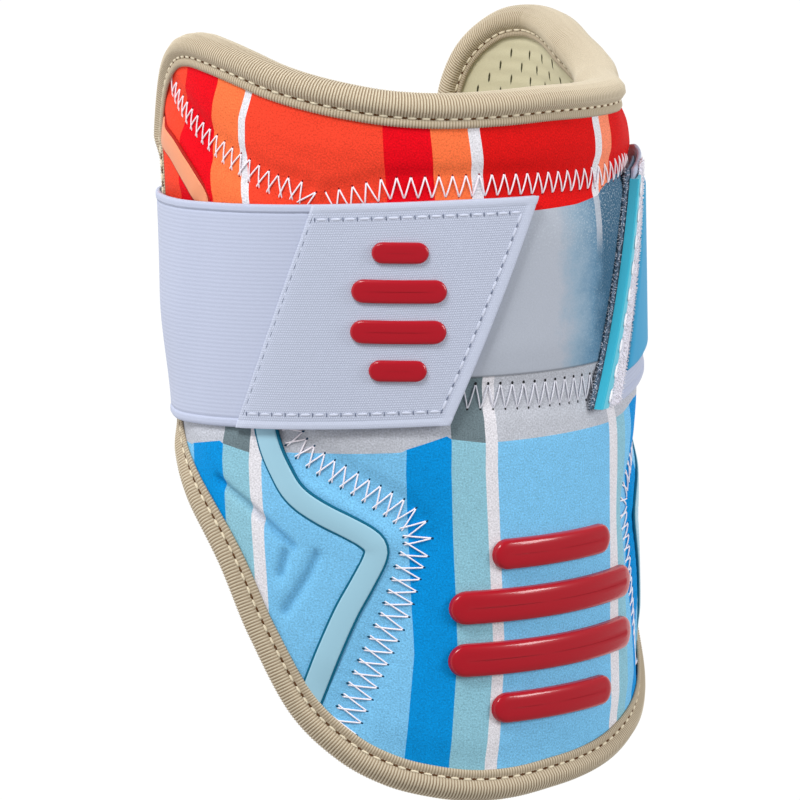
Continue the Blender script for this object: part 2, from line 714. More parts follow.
# %% Distances over the shell
def nearest(place, line, step=3 * MM):
    """Distance from each place to a line, and how far along the line it is."""
    line = evenly(line, max(3, int(line_length(line) / step)))
    flat = place.reshape(-1, 2)
    best = np.full(len(flat), 1.0)
    where = np.zeros(len(flat))
    start = 0.0
    for a, b in zip(line[:-1], line[1:]):
        run = b - a
        length = np.linalg.norm(run)
        share = np.clip((flat - a) @ run / length ** 2, 0, 1)
        gap = np.linalg.norm(flat - a - share[:, None] * run, axis=1)
        closer = gap < best
        best[closer] = gap[closer]
        where[closer] = start + share[closer] * length
        start += length
    return best.reshape(place.shape[:-1]), where.reshape(place.shape[:-1])


side_seam = curve_through(SIDE_SEAM)
front_seam = curve_through(FRONT_SEAM)
mid_seam = curve_through(MID_SEAM)
zigzag_lines = {"left": side_seam, "right": mirrored(side_seam), "front": front_seam,
                "middle": mid_seam}
creases = [curve_through(line) for line in CREASES]
creases += [mirrored(line) for line in creases]
strips = {"upper_left": curve_through(UPPER_STRIP), "lower_left": curve_through(LOWER_STRIP)}
strips.update({key.replace("left", "right"): mirrored(line) for key, line in list(strips.items())})
print("zigzag seams, mm:", {key: round(line_length(line) / MM) for key, line in zigzag_lines.items()})

# %% Sizes of the strap
STRAP_LIFT = 0.4 * MM
STRAP_EDGE_LIFT = 1.45 * MM
STRAP_RISE = (86, 97)
STRAP_FRONT_HEIGHT = 143.6 * MM
STRAP_DROP = 6.6 * MM
STRAP_CORNER = 11 * MM
# The strap's right end climbs away from the front, and its hook tape lifts it off the shell
END_CLIMB = 7.5 * MM
CLIMB_START = (18, 62)
CLIMB_END = (55, 95)
END_LIFT = 1.5 * MM
END_LIFT_END = (66, 92)
BACK_BEND_START = math.radians(95)
BACK_BEND_END = math.radians(140)
BACK_BEND_FADE = math.radians(116)
LEFT_END_ANGLE = -16.3
RIGHT_END_ANGLE = 24.8
END_SLANT = 22.0
SLANT_FADE = (35, 80)


# %% Points on the strap
def strap_height(angle, share):
    degrees = np.degrees(angle)
    drop = STRAP_DROP * smooth(np.abs(degrees), 20, 125)
    climb = END_CLIMB * smooth(degrees, *CLIMB_START) * (1 - smooth(degrees, *CLIMB_END))
    return STRAP_FRONT_HEIGHT - drop + climb + (share - 0.5) * STRAP_WIDTH


def strap_radius(angle, height):
    """Round the shell, then over the wing's edge onto the flat back span."""
    degrees = np.degrees(angle)
    lift = STRAP_LIFT + (STRAP_EDGE_LIFT - STRAP_LIFT) * smooth(np.abs(degrees), *STRAP_RISE)
    lift = lift + np.where(degrees > 0, END_LIFT * (1 - smooth(degrees, *END_LIFT_END)), 0)
    around = shell_radius(angle, height) + lift
    plane = -BACK_DEPTH - math.tan(BACK_TILT) * (height - BACK_HEIGHT)
    behind = np.abs(angle) > BACK_BEND_START
    across = np.where(behind, plane / np.where(behind, np.cos(angle), -1), 1.0)
    blend = np.maximum(STRAP_CORNER - np.abs(around - across), 0)
    fade = 1 - smooth(np.abs(angle), BACK_BEND_FADE, BACK_BEND_END)
    bent = np.minimum(around, across) - fade * blend ** 2 / (4 * STRAP_CORNER)
    bent = np.where(np.abs(angle) > BACK_BEND_END, across, bent)
    return np.where(behind, bent, around)


def on_strap(degrees, share, lift):
    """Points lifted off the strap's inner face, and the directions that point out of it."""
    step = 0.004
    angle = np.radians(degrees)
    wrapped = np.arctan2(np.sin(angle), np.cos(angle))
    beside = np.arctan2(np.sin(angle + step), np.cos(angle + step))
    height = strap_height(wrapped, share)
    here = polar(wrapped, height, strap_radius(wrapped, height))
    turn = polar(beside, height, strap_radius(beside, height)) - here
    above = height + 0.001
    rise = polar(wrapped, above, strap_radius(wrapped, above)) - here
    out = unit(np.cross(turn, rise))
    return here + out * np.asarray(lift)[..., None], out


def under_strap(place):
    """1 where the strap covers the shell, 0 where it doesn't."""
    angle = place[..., 0] / ARC_RADIUS
    degrees = np.degrees(angle)
    low = strap_height(angle, 0.0)
    share = (place[..., 1] - low) / STRAP_WIDTH
    slant = END_SLANT * (np.clip(share, 0, 1) - 0.5)
    sides = (1 - smooth(degrees, LEFT_END_ANGLE + slant - 1, LEFT_END_ANGLE + slant + 6)
             + smooth(degrees, RIGHT_END_ANGLE + slant - 8, RIGHT_END_ANGLE + slant - 2))
    edge = 4 * MM / STRAP_WIDTH
    return sides * smooth(share, -edge, 0.0) * (1 - smooth(share, 1.0, 1 + edge))


# %% The cover's height field
# Depths and lifts, then the distances over which they fade, all in mm
TROUGH, MIDDLE_TROUGH, TROUGH_FADE = 1.0, 0.7, (2.5, 7.0)
PUFF, PUFF_FADE, EDGE_FADE = 0.9, (3, 15), 9
PUCKER, PUCKER_REACH = 0.2, 1.4
CREASE, CREASE_REACH, CREASE_DISH, DISH_REACH = 1.3, 1.05, 0.3, 3
STRIP_BED, BED_FADE = 0.3, 1.2
SURFACE_WAVE, PRESSED_SWELL = 0.1, 0.15
SEAM_END_FADE = (6, 12)


def stitch_reach(key, height):
    """Half the width of a seam's zigzag at a height in metres."""
    _, high, low = ZIGZAGS[key]
    return (low + (high - low) * smooth(height / MM, *STITCH_WIDENS)) * MM


def crease_gap(place):
    """Distance in mm to the nearest pressed crease."""
    return np.stack([nearest(place, line)[0] for line in creases]).min(0) / MM


def crease_depth(place):
    """1 along the middle of a pressed crease, 0 away from it."""
    return np.exp(-(crease_gap(place) / CREASE_REACH) ** 2)


def seam_pull(place):
    """In mm: how deep the seams sink, how far the cloth puckers, distance to the seams."""
    trough = np.zeros(place.shape[:-1])
    pucker = np.zeros(place.shape[:-1])
    from_seam = np.full(place.shape[:-1], 1.0 / MM)
    for key, line in zigzag_lines.items():
        gap, along = (value / MM for value in nearest(place, line))
        depth = MIDDLE_TROUGH if key == "middle" else TROUGH
        trough = np.maximum(trough, depth * (1 - smooth(gap, *TROUGH_FADE)))
        from_seam = np.minimum(from_seam, gap)
        ripple = np.cos(math.tau * along / ZIGZAGS[key][0])
        edge = stitch_reach(key, place[..., 1]) / MM
        pucker += PUCKER * ripple * np.exp(-((gap - edge) / PUCKER_REACH) ** 2)
    return trough, pucker, from_seam


def cover_lift(place):
    """How far the cover stands off the shell's nominal face."""
    to_rim = nearest(place, skewed(rim), 4 * MM)[0] / MM
    free = smooth(to_rim, BINDING_WIDTH / MM, BINDING_WIDTH / MM + EDGE_FADE)
    trough, pucker, from_seam = seam_pull(place)
    dish = CREASE_DISH * np.exp(-(crease_gap(place) / DISH_REACH) ** 2)
    half = STRIP_HALF / MM
    bed = sum(STRIP_BED * (1 - smooth(nearest(place, line)[0] / MM, half, half + BED_FADE))
              for line in strips.values())
    x, y = place[..., 0] / MM, place[..., 1] / MM
    wave = SURFACE_WAVE * np.sin(x / 9.0 + 0.7 * np.sin(y / 13.0)) * np.sin(y / 11.0 + 1.3)
    shown = free * (PUFF * smooth(from_seam, *PUFF_FADE) + wave)
    pressed = under_strap(place)
    lift = shown * (1 - pressed) + np.minimum(shown, PRESSED_SWELL) * pressed
    lift += pucker * free - trough * smooth(to_rim, *SEAM_END_FADE)
    return (lift - CREASE * crease_depth(place) - dish - bed) * MM


# %% Make the cover
COVER_COLUMNS = 134
COVER_ROWS = 168
COVER_INSET = 2.9 * MM

cover_places = full_patch(COVER_INSET, COVER_COLUMNS, COVER_ROWS)
outer, _ = on_shell(cover_places, cover_lift(cover_places))
inner, _ = on_shell(cover_places, -SHELL_WALL)
cover = new_sheet("striped_cover", outer, inner, cover_cloth,
                  uv={"print": print_map(cover_places), "reds": red_map(cover_places),
                      "cloth": cloth_map(cover_places)},
                  values={"fold": crease_depth(cover_places)})
settle(cover, "padded_shell")

# %% [markdown]
# ## Thread, slits and stitches
# Hundreds of small parts repeat along the seams. They could be copied with an array modifier,
# but each one has to face out of a curved shell. So one node group sets a small rounded piece
# on every guide point, turned by the directions that the point carries, and another turns each
# guide line into a thread. Both are baked to plain meshes, which look the same in any program.

# %% Node groups that grow small parts
def new_growth(name, inputs):
    """An empty geometry group: (tree, sockets in, sockets out, identifiers of the inputs)."""
    shape = {"Geometry": "Geometry"}
    tree, into, out = new_group(name, shape | inputs, shape, "GeometryNodeTree")
    keys = {item.name: item.identifier for item in tree.tree.interface.items_tree
            if item.in_out == "INPUT"}
    return tree, into, out, keys


def finish_growth(tree, geometry, material, target):
    """Real, smooth geometry with its material, as every group here ends."""
    real = tree.add("GeometryNodeRealizeInstances", Geometry=geometry)
    soft = tree.add("GeometryNodeSetShadeSmooth", Geometry=real)
    tree.wire(tree.add("GeometryNodeSetMaterial", Geometry=soft, Material=material), target)


def direction(tree, name):
    return tree.add("GeometryNodeInputNamedAttribute", "Attribute", {"data_type": "FLOAT_VECTOR"},
                    Name=name)


studs, into, out, STUD_KEYS = new_growth(
    "Studs on points", {"Length": "Float", "Width": "Float", "Thickness": "Float",
                        "Sides": "Int", "Finish": "Material"})
ball = studs.add("GeometryNodeMeshUVSphere", Segments=into["Sides"], Rings=4, Radius=0.5)
size = studs.add("ShaderNodeCombineXYZ", X=into["Length"], Y=into["Width"], Z=into["Thickness"])
shaped = studs.add("GeometryNodeTransform", Geometry=ball, Scale=size)
upright = studs.add("FunctionNodeAlignRotationToVector", props={"axis": "Z"},
                    Vector=direction(studs, "out"))
turned = studs.add("FunctionNodeAlignRotationToVector", props={"axis": "X", "pivot_axis": "Z"},
                   Rotation=upright, Vector=direction(studs, "along"))
placed = studs.add("GeometryNodeInstanceOnPoints", Points=into["Geometry"], Instance=shaped,
                   Rotation=turned)
finish_growth(studs, placed, into["Finish"], out["Geometry"])

threads, into, out, THREAD_KEYS = new_growth(
    "Threads on lines", {"Radius": "Float", "Finish": "Material"})
path = threads.add("GeometryNodeMeshToCurve", Mesh=into["Geometry"])
ring = threads.add("GeometryNodeCurvePrimitiveCircle", Resolution=6, Radius=into["Radius"])
tube = threads.add("GeometryNodeCurveToMesh", Curve=path, Profile_Curve=ring, Fill_Caps=True)
finish_growth(threads, tube, into["Finish"], out["Geometry"])
print("inputs of the studs:", ", ".join(STUD_KEYS))


# %% Run a group and keep its mesh
def run_group(obj, group, keys, settings):
    """The plain mesh that a geometry group makes of an object, which is left as it was."""
    modifier = obj.modifiers.new("Grow", "NODES")
    modifier.node_group = group.tree
    for key, value in settings.items():
        modifier[keys[key]] = value
    grown = obj.evaluated_get(bpy.context.evaluated_depsgraph_get())
    plain = bpy.data.meshes.new_from_object(grown)
    obj.modifiers.remove(modifier)
    return plain


def grow(name, group, keys, settings, points, edges=(), directions=None):
    """A piece grown by a group from guide points, or from the edges between them."""
    guide = bpy.data.meshes.new(name)
    guide.from_pydata(at_rest(points).tolist(), edges, [])
    directions = directions or {}
    for key, vectors in directions.items():
        layer = guide.attributes.new(key, "FLOAT_VECTOR", "POINT")
        layer.data.foreach_set("vector", (vectors @ REST_TURN.T).ravel())
    obj = link_object(name, guide)
    obj.data = run_group(obj, group, keys, settings)
    for key in directions:
        obj.data.attributes.remove(obj.data.attributes[key])
    return settle(obj)


def set_studs(name, points, facing, along, size, material, sides=8):
    """Small rounded pieces of size (length, width, thickness) in mm."""
    settings = dict(zip(("Length", "Width", "Thickness"), (value * MM for value in size)))
    settings.update(Sides=sides, Finish=material)
    return grow(name, studs, STUD_KEYS, settings, points,
                directions={"out": facing, "along": along})


def set_threads(name, runs, radius, material):
    """Threads along runs, an array of (run, point, xyz)."""
    count, length = runs.shape[:2]
    first = (np.arange(count) * length)[:, None] + np.arange(length - 1)
    edges = np.stack([first, first + 1], -1).reshape(-1, 2).tolist()
    settings = {"Radius": radius, "Finish": material}
    return grow(name, threads, THREAD_KEYS, settings, runs.reshape(-1, 3), edges=edges)


# %% [markdown]
# ## Zigzag seams
# A zigzag stitch lets a seam stretch with the cloth. A printed or bumped zigzag would look flat
# from the side, so the thread is real. Each leg dives into a needle hole at both ends, so a leg
# is its own short arc, and a dark hole sits under every point of the zigzag.

# %% Sew the zigzag seams
THREAD_RADIUS = 0.23 * MM
THREAD_CROSSING = 0.55 * MM
HOLE_LIFT = 0.02 * MM
RED_ZONE = 165 * MM
LEG_SHARES = np.array([0.02, 0.1, 0.28, 0.5, 0.72, 0.9, 0.98])
LEG_LIFTS = np.array([-0.25, 0.12, 0.3, 0.36, 0.3, 0.12, -0.25]) * MM


def beside(line):
    """Unit directions along and across an open line."""
    ahead = unit(np.gradient(line, axis=0))
    return ahead, np.stack([-ahead[:, 1], ahead[:, 0]], -1)


def zigzag_points(key):
    """Places of a seam's zigzag points, and the directions along and across the seam there."""
    line = zigzag_lines[key]
    count = 2 * round(line_length(line) / (ZIGZAGS[key][0] * MM)) + 1
    centre = evenly(line, count)
    ahead, across = beside(centre)
    swing = np.where(np.arange(count) % 2 == 0, 1, -1)[:, None]
    return centre + across * swing * stitch_reach(key, centre[:, 1])[:, None], ahead, across


def zigzag_legs(key):
    """One row of places for each leg. On the sides, legs cross just before the inner holes."""
    places, ahead, _ = zigzag_points(key)
    inner = (np.arange(len(places)) % 2 == 1)[:, None]
    shift = ahead * inner * (THREAD_CROSSING if key in ("left", "right") else 0)
    starts, ends = places[:-1] - shift[:-1], places[1:] + shift[1:]
    return starts[:, None] + (ends - starts)[:, None] * LEG_SHARES[None, :, None]


def sew_zigzag(name, keys, radius, thread):
    legs = np.concatenate([zigzag_legs(key) for key in keys])
    return set_threads(name, on_shell(legs, cover_lift(legs) + LEG_LIFTS)[0], radius, thread)


def pierce(name, keys, chosen, size, material):
    """Needle holes, drawn out across the seam, at the heights that chosen(height) keeps."""
    kept = []
    for key in keys:
        places, _, across = zigzag_points(key)
        pick = chosen(places[:, 1])
        kept.append((places[pick], across[pick]))
    places, across = (np.concatenate(parts) for parts in zip(*kept))
    lift = cover_lift(places) + HOLE_LIFT
    points, facing = on_shell(places, lift)
    beyond, _ = on_shell(places + across * MM, lift)
    return set_studs(name, points, facing, unit(beyond - points), size, material)


white_thread = make_plain("white_thread", tint(246, 240, 248), 0.6, sheen=0.1)
grey_thread = make_plain("grey_thread", tint(226, 226, 236), 0.6, sheen=0.1)
dark_hole = make_plain("needle_hole", tint(36, 36, 40), 0.9)
navy_hole = make_plain("needle_hole_in_blue", tint(14, 62, 92), 0.9)
red_hole = make_plain("needle_hole_in_red", tint(128, 8, 16), 0.9)
sew_zigzag("zigzag_thread", ("left", "right", "front"), THREAD_RADIUS, white_thread)
sew_zigzag("middle_thread", ("middle",), 0.85 * THREAD_RADIUS, grey_thread)
pierce("middle_holes", ("middle",), lambda height: height > 0, (1.0, 0.8, 0.25), dark_hole)
pierce("blue_holes", ("left", "right"), lambda height: height < RED_ZONE, (0.95, 0.55, 0.25),
       navy_hole)
pierce("red_holes", ("left", "right", "front"), lambda height: height > RED_ZONE,
       (0.7, 0.5, 0.2), red_hole)

# %% [markdown]
# ## The liner
# The inside is soft foam, cut with staggered rows of short slits so that it bends and breathes.
# Real slits would cost a boolean cut each. Dark slivers set in the face look the same at this
# size, so the foam is a thin solid over the same outline with a sliver for each slit.

# %% Make the liner and its slits
LINER_INSET = 3.6 * MM
LINER_OUT = SHELL_WALL + SKIN_GAP
LINER_COLUMNS = 50
LINER_ROWS = 150
SLIT_STEP = 8.4 * MM
SLIT_ROW = 3.8 * MM
SLIT_HEIGHTS = (14 * MM, 212 * MM)
SLITS_A_SIDE = 18
SLIT_MARGIN = 9.6 * MM
SLIT_SIZE = (3.1, 0.6, 0.3)
SLIT_LEAN = 0.25
DENT = 0.12 * MM


def make_liner_cloth():
    material, tree, shader = new_material("liner_cloth", 0.85, sheen=0.05)
    _, mottle, relief = cloth_grain(tree, 220.0)
    colour = tree.mix(mottle, tint(194, 186, 152), tint(220, 214, 186))
    finish_cloth(tree, shader, colour, relief, 0.35, 0.00015)
    return material


def inside(place, line):
    """True where a place lies inside a closed line."""
    x, y = place[..., 0, None], place[..., 1, None]
    a, b = line, np.roll(line, -1, 0)
    crossed = (a[:, 1] > y) != (b[:, 1] > y)
    rise = np.where(crossed, b[:, 1] - a[:, 1], 1)
    at = a[:, 0] + (y - a[:, 1]) / rise * (b[:, 0] - a[:, 0])
    return (crossed & (x < at)).sum(-1) % 2 == 1


def liner_face(place):
    """Lift of the liner's bare face, with a shallow dent along each row of slits."""
    return DENT * np.cos(math.tau * place[..., 1] / SLIT_ROW) - (LINER_OUT + LINER_WALL)


liner_places = full_patch(LINER_INSET, LINER_COLUMNS, LINER_ROWS)
back, _ = on_shell(liner_places, -LINER_OUT)
bare, _ = on_shell(liner_places, liner_face(liner_places))
liner = new_sheet("slit_liner", back, bare, make_liner_cloth(),
                  uv={"cloth": cloth_map(liner_places)})
settle(liner, "foam_liner")

slit_rows = np.arange(*SLIT_HEIGHTS, SLIT_ROW)
slit_steps = np.arange(-SLITS_A_SIDE, SLITS_A_SIDE + 1) * SLIT_STEP
row_height, step_arc = np.meshgrid(slit_rows, slit_steps, indexing="ij")
step_arc = step_arc + (np.arange(len(slit_rows)) % 2)[:, None] * SLIT_STEP / 2
slits = np.stack([step_arc, row_height], -1).reshape(-1, 2)
slit_edge = evenly(skewed(rim), 160)
clear = nearest(slits, slit_edge, 6 * MM)[0] > SLIT_MARGIN
slits = slits[inside(slits, slit_edge) & clear]
points, facing = on_shell(slits, liner_face(slits) - HOLE_LIFT)
slit_dark = make_plain("slit_shadow", tint(66, 64, 44), 0.95)
set_studs("liner_slits", points, facing, np.tile((SLIT_LEAN, 1, 0), (len(slits), 1)), SLIT_SIZE,
          slit_dark, sides=6)

# %% [markdown]
# ## The knitted binding
# A ribbed knit tape is folded over the rim, padded where it rolls round the crest, and sewn
# down by a running stitch on both faces. A bevelled curve would give the roll, but not the
# flattened folds or the ribs. So its cross-section is a table, carried round the rim with a
# real rib every 0.84 mm, and the strap flattens the roll where it crosses.

# %% Make the binding
RIB_PITCH = 0.84 * MM
RIB_HEIGHT = 0.15 * MM
RIB_WAVE = (1.0, 0.2, -1.0)
PRESS_ANGLE = 90
PRESS_LOW = (96, 104)
PRESS_HIGH = (174, 182)
PRESS_SHARE = 0.6

# Cross-section. Columns: inset from the crest in mm, lift off the shell in mm, share of ribbing
BINDING_SECTION = (
    (8.75, 0.05, 0), (8.8, 0.5, 0.7), (8.1, 0.95, 0.7), (7.1, 0.9, 0.5), (6.25, 0.35, 0.2),
    (5.5, 1.25, 0.7), (4.2, 2.15, 1), (2.6, 2.0, 1), (1.0, 0.9, 1), (0.0, -1.2, 1),
    (-0.35, -3.8, 1), (0.0, -6.4, 1), (1.0, -8.6, 1), (2.5, -9.9, 1), (4.2, -10.0, 1),
    (5.5, -9.2, 0.7), (6.2, -8.35, 0.2), (6.9, -8.75, 0.5), (7.8, -8.7, 0.7),
    (8.0, -8.3, 0.7), (7.95, -7.95, 0), (1.6, -7.9, 0), (1.6, 0.05, 0),
)


def strap_press(place):
    """1 where the strap crosses the rim and flattens the roll."""
    height = place[..., 1] / MM
    pressed = smooth(height, *PRESS_LOW) * (1 - smooth(height, *PRESS_HIGH))
    return np.where(np.abs(degrees_round(place)) > PRESS_ANGLE, pressed, 0)


def along_rim(count):
    """Evenly spaced places on the rim, and directions along it and into the shell."""
    line = skewed(rim)
    line = evenly(np.vstack([line, line[:1]]), count + 1)[:-1]
    reach = max(1, round(4 * MM * count / line_length(line)))
    ahead = unit(np.roll(line, -reach, 0) - np.roll(line, reach, 0))
    return line, ahead, np.stack([-ahead[:, 1], ahead[:, 0]], -1)


def make_binding_knit():
    material, tree, shader = new_material("binding_knit", 0.8, sheen=0.06)
    _, mottle, relief = cloth_grain(tree, 420.0)
    colour = tree.mix(tree.value_of("rib"), tint(122, 96, 64), tint(220, 208, 184))
    colour = mottled(tree, 1.0, colour, mottle, 0.88, 1.08)
    finish_cloth(tree, shader, colour, relief, 0.4, 0.00012)
    return material


section = np.array(BINDING_SECTION)
lead = np.roll(section[:, :2], -1, 0) - np.roll(section[:, :2], 1, 0)
section_out = unit(np.stack([lead[:, 1], -lead[:, 0]], -1))
rib_count = round(line_length(rim) / RIB_PITCH)
binding_line, _, binding_in = along_rim(rib_count * len(RIB_WAVE))
ribs = np.tile(RIB_WAVE, rib_count)[:, None] * section[:, 2]
flattened = 1 - PRESS_SHARE * strap_press(binding_line)[:, None]
lift = section[:, 1] * MM * np.where(section[:, 1] > 0, flattened, 1)
lift = lift + section_out[:, 1] * RIB_HEIGHT * ribs
inset = section[:, 0] * MM + section_out[:, 0] * RIB_HEIGHT * ribs
binding_places = binding_line[:, None] + binding_in[:, None] * inset[..., None]
binding_points, _ = on_shell(binding_places, lift)
rings, sides = binding_points.shape[:2]
ring_at = np.arange(rings)[:, None] * RIB_PITCH / len(RIB_WAVE) + np.zeros(sides)
side_at = np.r_[0, np.cumsum(np.linalg.norm(np.diff(section[:, :2], axis=0), axis=1))] * MM
binding_uv = cloth_map(np.stack([ring_at, side_at + 0 * ring_at], -1))
binding = new_piece("knit_binding", binding_points, grid_faces(rings, sides, True, True),
                    make_binding_knit(), uv={"cloth": binding_uv},
                    values={"rib": 0.5 + 0.5 * ribs})
outwards(binding)
settle(binding, "edge_binding")

# %% Sew the binding down
STITCH_PITCH = 3.8 * MM
STITCH_INSET = 6.2 * MM
STITCH_SIZE = (2.6, 0.8, 0.7)
GAP_SIZE = (2.0, 0.95, 0.4)
cream_thread = make_plain("cream_thread", tint(228, 216, 190), 0.6, sheen=0.1)
brown_gap = make_plain("stitch_gap", tint(92, 62, 36), 0.9)
# Columns: name, lift in mm, size in mm, finish, shift along the rim in quarters of a stitch
RIM_STITCHES = (
    ("outer_binding_stitch", 0.6, STITCH_SIZE, cream_thread, 0),
    ("outer_stitch_gaps", 0.5, GAP_SIZE, brown_gap, 2),
    ("inner_binding_stitch", -8.62, STITCH_SIZE, cream_thread, 0),
    ("inner_stitch_gaps", -8.45, GAP_SIZE, brown_gap, 2),
)

stitch_count = round(line_length(rim) / STITCH_PITCH)
for name, lift, size, material, shift in RIM_STITCHES:
    line, ahead, into_shell = (part[shift::4] for part in along_rim(stitch_count * 4))
    places = line + into_shell * STITCH_INSET
    lifts = np.full(len(places), lift * MM)
    points, facing = on_shell(places, lifts)
    beyond, _ = on_shell(places + ahead * MM, lifts)
    set_studs(name, points, facing, unit(beyond - points), size, material)

# %% [markdown]
# ## The strap
# One wide elastic runs behind the arm. Woven elastic has fine ribs along its length and a
# turned hem at each edge. A woven tab is sewn over its front end, and the other end carries a
# moulded bar. A cloth simulation could drape it, but it is pulled tight, so its path is known:
# round the shell, then straight across the back. Each piece is a thin solid on that path.

# %% Cloths of the strap
HEM = 2.25
HEM_STEPS = np.array([0, 0.25, 0.6, 1.1, 1.6, 1.95, 2.15, 2.35, 2.55, 2.8, 3.4])


def hem_profile(edge):
    """Lift in mm at a distance in mm from a turned edge: a band, then a sewn groove."""
    band = 0.26 * smooth(edge, -0.2, 0.6) * (1 - smooth(edge, HEM - 0.4, HEM))
    groove = 0.22 * np.exp(-((edge - HEM - 0.15) / 0.22) ** 2)
    return band - groove - 0.2 * (1 - smooth(edge, -0.1, 0.5))


def make_strap_cloth(name, along, across, dark, light, bump):
    """Woven cloth whose threads repeat along and across so many times a decimetre."""
    material, tree, shader = new_material(name, 0.8, sheen=0.08)
    cloth, mottle, relief = cloth_grain(tree, 300.0)
    lines = tree.add("ShaderNodeGroup", 0, {"node_tree": weave.tree}, Coordinates=cloth,
                     Along=along, Across=across)
    threads = tree.math("MAXIMUM", lines, tree.math("MULTIPLY", tree.value_of("hem"), 0.5))
    colour = mottled(tree, 1.0, tree.mix(threads, dark, light), mottle, 0.93, 1.06)
    height = tree.math("MULTIPLY_ADD", relief, 0.6, threads)
    finish_cloth(tree, shader, colour, height, bump, 0.0002)
    return material


elastic_cloth = make_strap_cloth("ribbed_elastic", 0.0, 91.0, tint(179, 186, 208),
                                 tint(186, 193, 215), 0.13)
tab_cloth = make_strap_cloth("tab_grid", 154.0, 154.0, tint(176, 183, 203), tint(208, 215, 234),
                             0.4)


# %% Lay a piece along the strap
def hem_shares(inner_steps):
    """Places across the strap, closer together over its hems."""
    hem = HEM_STEPS * MM / STRAP_WIDTH
    middle = np.linspace(hem[-1], 1 - hem[-1], inner_steps + 1)[1:-1]
    return np.r_[hem, middle, 1 - hem[::-1]]


def slanted(degrees, share):
    """Both ends are cut on a slant that dies out round the side."""
    from_front = np.minimum(np.abs(degrees), np.abs(360 + degrees))
    return degrees + END_SLANT * (share - 0.5) * (1 - smooth(from_front, *SLANT_FADE))


def from_edge(share):
    """Distance in mm to the nearer long edge of the strap."""
    return np.minimum(share, 1 - share) * STRAP_WIDTH / MM


def strap_solid(name, degrees, shares, foot, top, material, hem=None):
    """A thin solid between two lifts over a grid of (angle along, share across)."""
    outer, _ = on_strap(degrees, shares, top)
    inner, _ = on_strap(degrees, shares, foot)
    steps = np.linalg.norm(np.diff(outer, axis=0), axis=-1)
    along = np.vstack([0 * steps[:1], np.cumsum(steps, axis=0)])
    return outwards(new_sheet(name, outer, inner, material,
                              uv={"cloth": cloth_map(np.stack([along, shares * STRAP_WIDTH], -1))},
                              values=None if hem is None else {"hem": hem}))


STRAP_STATIONS = 320
STRAP_SINK = 0.26 * MM
stations = np.linspace(LEFT_END_ANGLE, RIGHT_END_ANGLE - 360, STRAP_STATIONS)
strap_shares, strap_degrees = np.meshgrid(hem_shares(22), stations)
edge = from_edge(strap_shares)
strap = strap_solid("elastic_band", slanted(strap_degrees, strap_shares), strap_shares, 0 * edge,
                    STRAP_THICK - STRAP_SINK + hem_profile(edge) * MM, elastic_cloth,
                    hem=1 - smooth(edge, HEM - 0.3, HEM))
settle(strap, "elastic_strap")

# %% The tab
TAB_LEFT_ANGLE = -67.2
TAB_LEFT_SLANT = 16.5
TAB_FOOT = STRAP_THICK + SKIN_GAP
TAB_THICK = 0.7 * MM
TAB_TOP = TAB_FOOT + TAB_THICK
TAB_END_HEM = 3.6
TAB_RUN = 42
TAB_CUT = 0.12
DEGREES_PER_MM = math.degrees(MM / ARC_RADIUS)


def tab_left(share):
    return TAB_LEFT_ANGLE + TAB_LEFT_SLANT * (share - 0.5)


def tab_right(share):
    return LEFT_END_ANGLE + END_SLANT * (share - 0.5)


from_end = np.r_[HEM_STEPS * 1.6, np.linspace(6.4, 40, 22), 40.6, 41, 41.4, TAB_RUN]
tab_shares, end_gap = np.meshgrid(hem_shares(22), from_end)
tab_span = (tab_right(tab_shares) - tab_left(tab_shares)) / DEGREES_PER_MM
from_free = end_gap * tab_span / TAB_RUN
tab_degrees = tab_right(tab_shares) - from_free * DEGREES_PER_MM
from_left = tab_span - from_free
edge = from_edge(tab_shares)
hem = np.maximum(hem_profile(edge), hem_profile(from_free * HEM / TAB_END_HEM))
hem = np.where((edge > HEM - 0.4) & (from_free > TAB_END_HEM - 0.4), np.minimum(hem, 0), hem)
groove = 0.25 * np.exp(-((from_left - 1.4) / 0.4) ** 2)
thin = smooth(from_left, -0.4, 1.2)
tab_top = TAB_CUT + (TAB_THICK / MM - TAB_CUT + 0.55 * hem - groove) * thin
plain = np.maximum(1 - smooth(edge, HEM - 0.3, HEM),
                   1 - smooth(from_free, TAB_END_HEM - 0.5, TAB_END_HEM))
tab_foot = TAB_FOOT - 0.3 * MM * (1 - thin)
tab = strap_solid("woven_tab", tab_degrees, tab_shares, tab_foot, tab_foot + tab_top * MM,
                  tab_cloth, hem=plain)
settle(tab, "strap_tab")


# %% Stitches of the tab
def stitch_on_strap(starts, ends, lift, pitch, phase):
    """A row of stitches between two places (angle, share) on the strap."""
    shares = np.linspace(starts[1], ends[1], 400)
    angles = np.linspace(starts[0], ends[0], 400)
    line, _ = on_strap(angles, shares, np.full(400, lift))
    reach = np.r_[0, np.cumsum(np.linalg.norm(np.diff(line, axis=0), axis=1))]
    count = int(reach[-1] / (pitch * MM))

    def points_at(distance):
        return on_strap(np.interp(distance, reach, angles), np.interp(distance, reach, shares),
                        np.full(count, lift))

    at = (np.arange(count) + phase) * reach[-1] / count
    points, facing = points_at(at)
    return points, facing, unit(points_at(at + 0.5 * MM)[0] - points)


